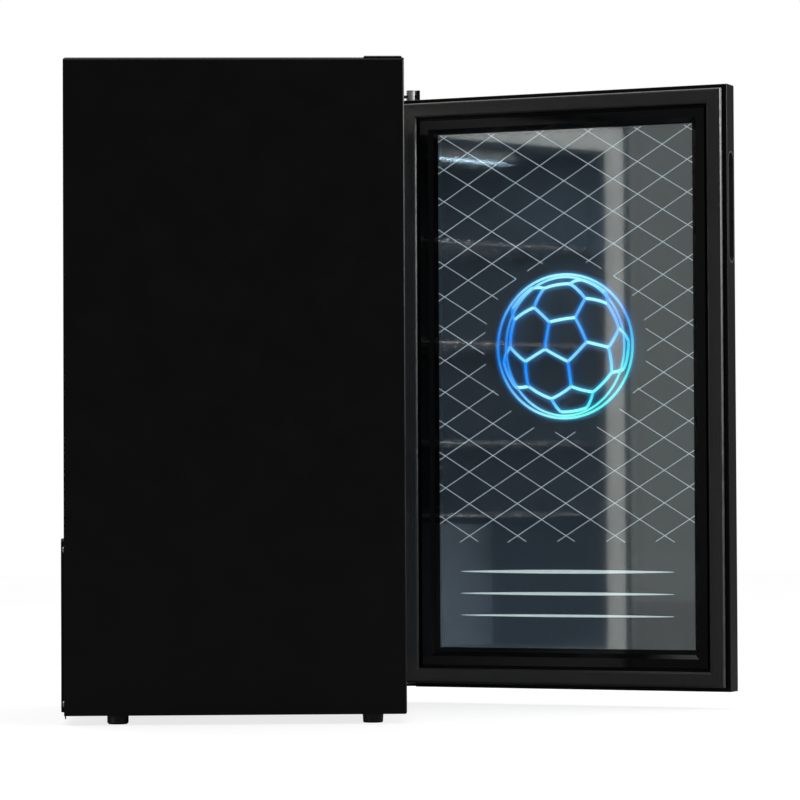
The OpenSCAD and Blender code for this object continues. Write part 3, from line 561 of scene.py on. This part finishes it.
def printed_border():
    """The black band printed round the inner pane, wider at the hinge and at the bottom."""
    lo, hi = shut_box("inner_glass")
    outer = 14 * MM
    hinge_side, free_side, bottom, top = 21.5 * MM, 15.6 * MM, 21 * MM, 16.6 * MM
    points, faces = [], []
    for y in (hi.y + 0.01 * MM, hi.y + 0.05 * MM):
        for x0, x1, z0, z1 in (
            (lo.x + outer, hi.x - outer, lo.z + outer, hi.z - outer),
            (lo.x + free_side, hi.x - hinge_side, lo.z + bottom, hi.z - top),
        ):
            points += [TO_OPEN @ Vector(p) for p in
                       ((x0, y, z0), (x1, y, z0), (x1, y, z1), (x0, y, z1))]
    for k in range(4):
        n = (k + 1) % 4
        faces += [(k, n, n + 4, k + 4), (k + 8, k + 12, n + 12, n + 8),
                  (k, k + 8, n + 8, n), (k + 4, n + 4, n + 12, k + 12)]
    mesh = bpy.data.meshes.new("glass_print")
    mesh.from_pydata(points, [], faces)
    mesh.materials.append(FINISHES["gloss_black"])
    piece = bpy.data.objects.new("glass_print", mesh)
    scene.collection.objects.link(piece)
    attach(piece, "door")


printed_border()


# ---------- camera, lights and floor ----------

CAMERA_PLACE = (-4.7665, -0.0497, 0.2811)
CAMERA_YAW, CAMERA_PITCH, CAMERA_ROLL = 2.0, 1.586, -0.274  # degrees
CAMERA_LENS, CAMERA_SENSOR = 162, 36  # mm
WORLD_LIGHT = 0.17  # what the white world gives as light
FLOOR_HALF = 9.0  # m
FLOOR_SEEN = 0.79  # what brings the floor up to the white world


def photo_camera():
    """A long lens on the cabinet's left side, aimed slightly up and to the front."""
    yaw, pitch, roll = (math.radians(d) for d in (CAMERA_YAW, CAMERA_PITCH, CAMERA_ROLL))
    forward = Vector((
        math.cos(yaw) * math.cos(pitch), -math.sin(yaw) * math.cos(pitch), math.sin(pitch)))
    level = forward.cross(Vector((0, 0, 1))).normalized()
    upright = level.cross(forward)
    right = level * math.cos(roll) + upright * math.sin(roll)
    up = upright * math.cos(roll) - level * math.sin(roll)
    camera = bpy.data.objects.new("camera", bpy.data.cameras.new("camera"))
    scene.collection.objects.link(camera)
    camera.data.sensor_width = CAMERA_SENSOR
    camera.data.lens = CAMERA_LENS
    camera.data.clip_start, camera.data.clip_end = 0.1, 100
    axes = Matrix((right, up, -forward)).transposed().to_4x4()
    camera.matrix_world = Matrix.Translation(CAMERA_PLACE) @ axes
    scene.camera = camera


def softbox(name, place, target, width, height, power, colour=(1, 1, 1)):
    light = bpy.data.lights.new(name, "AREA")
    light.shape = "RECTANGLE"
    light.size, light.size_y = width, height
    light.energy = power
    light.color = colour
    o = bpy.data.objects.new(name, light)
    scene.collection.objects.link(o)
    o.location = place
    o.rotation_euler = (Vector(target) - Vector(place)).to_track_quat("-Z", "Y").to_euler()
    return o


def overhead(strength, spread):
    """One wide soft light from above, even over the whole floor."""
    light = bpy.data.lights.new("overhead", "SUN")
    light.energy = strength
    light.angle = math.radians(spread)
    o = bpy.data.objects.new("overhead", light)
    scene.collection.objects.link(o)
    o.rotation_euler = (math.radians(-6), math.radians(4), 0)


def surroundings():
    """White to the camera, as a plain backdrop is, and dimmer as a source of light."""
    world = bpy.data.worlds.new("studio")
    scene.world = world
    world.use_nodes = True
    tree = world.node_tree
    tree.nodes.clear()
    out = tree.nodes.new("ShaderNodeOutputWorld")
    seen, lit = (tree.nodes.new("ShaderNodeBackground") for _ in range(2))
    seen.inputs["Color"].default_value = (1.0, 1.0, 1.0, 1)
    lit.inputs["Color"].default_value = (0.97, 1.0, 0.98, 1)
    lit.inputs["Strength"].default_value = WORLD_LIGHT
    mix = tree.nodes.new("ShaderNodeMixShader")
    path = tree.nodes.new("ShaderNodeLightPath")
    tree.links.new(path.outputs["Is Camera Ray"], mix.inputs[0])
    tree.links.new(lit.outputs[0], mix.inputs[1])
    tree.links.new(seen.outputs[0], mix.inputs[2])
    tree.links.new(mix.outputs[0], out.inputs[0])


def floor():
    """Grey paper that the camera sees as white, so that only the shadow shows."""
    mesh = bpy.data.meshes.new("floor")
    r = FLOOR_HALF
    mesh.from_pydata([(-r, -r, 0), (r, -r, 0), (r, r, 0), (-r, r, 0)], [], [(0, 1, 2, 3)])
    paper = finish("floor", (0.20, 0.20, 0.20), 0.7, vary=0.01, patch=2, grain=60,
                   depth=0.02, spec=0.1)
    tree = paper.node_tree
    path = tree.nodes.new("ShaderNodeLightPath")
    bsdf = next(n for n in tree.nodes if n.type == "BSDF_PRINCIPLED")
    tree.links.new(path.outputs["Is Camera Ray"], bsdf.inputs["Emission Strength"])
    bsdf.inputs["Emission Color"].default_value = (FLOOR_SEEN, FLOOR_SEEN, FLOOR_SEEN, 1)
    mesh.materials.append(paper)
    o = bpy.data.objects.new("floor", mesh)
    scene.collection.objects.link(o)


scene.view_settings.view_transform = "Standard"
scene.view_settings.look = "None"
photo_camera()
surroundings()
floor()
overhead(strength=2.4, spread=70)
softbox("front_wide", place=(-0.7, -3.4, 1.3), target=(-0.2, -0.2, 0.8),
        width=3.2, height=0.7, power=130)
softbox("room", place=(-3.1, 3.2, 0.9), target=(0.1, -0.4, 0.5),
        width=2.2, height=3.2, power=4, colour=(0.94, 1.0, 0.95))
softbox("side_kicker", place=(-1.9, 2.9, 0.5), target=(0.1, -0.5, 0.5),
        width=0.4, height=1.2, power=12)
softbox("rear_right", place=(3.4, 2.4, 1.6), target=(0, 0.1, 0.4),
        width=1.8, height=1.8, power=50)
lamp = (LENS_LO + LENS_HI) / 2
glow = softbox("cooler_lamp", place=(lamp.x, lamp.y, LENS_LO.z - 2 * MM),
               target=(lamp.x, lamp.y + 0.02, 0),
               width=0.13, height=0.03, power=0.2, colour=(0.72, 0.90, 1.0))
glow.visible_glossy = False  # the lens itself is what shows in the glass
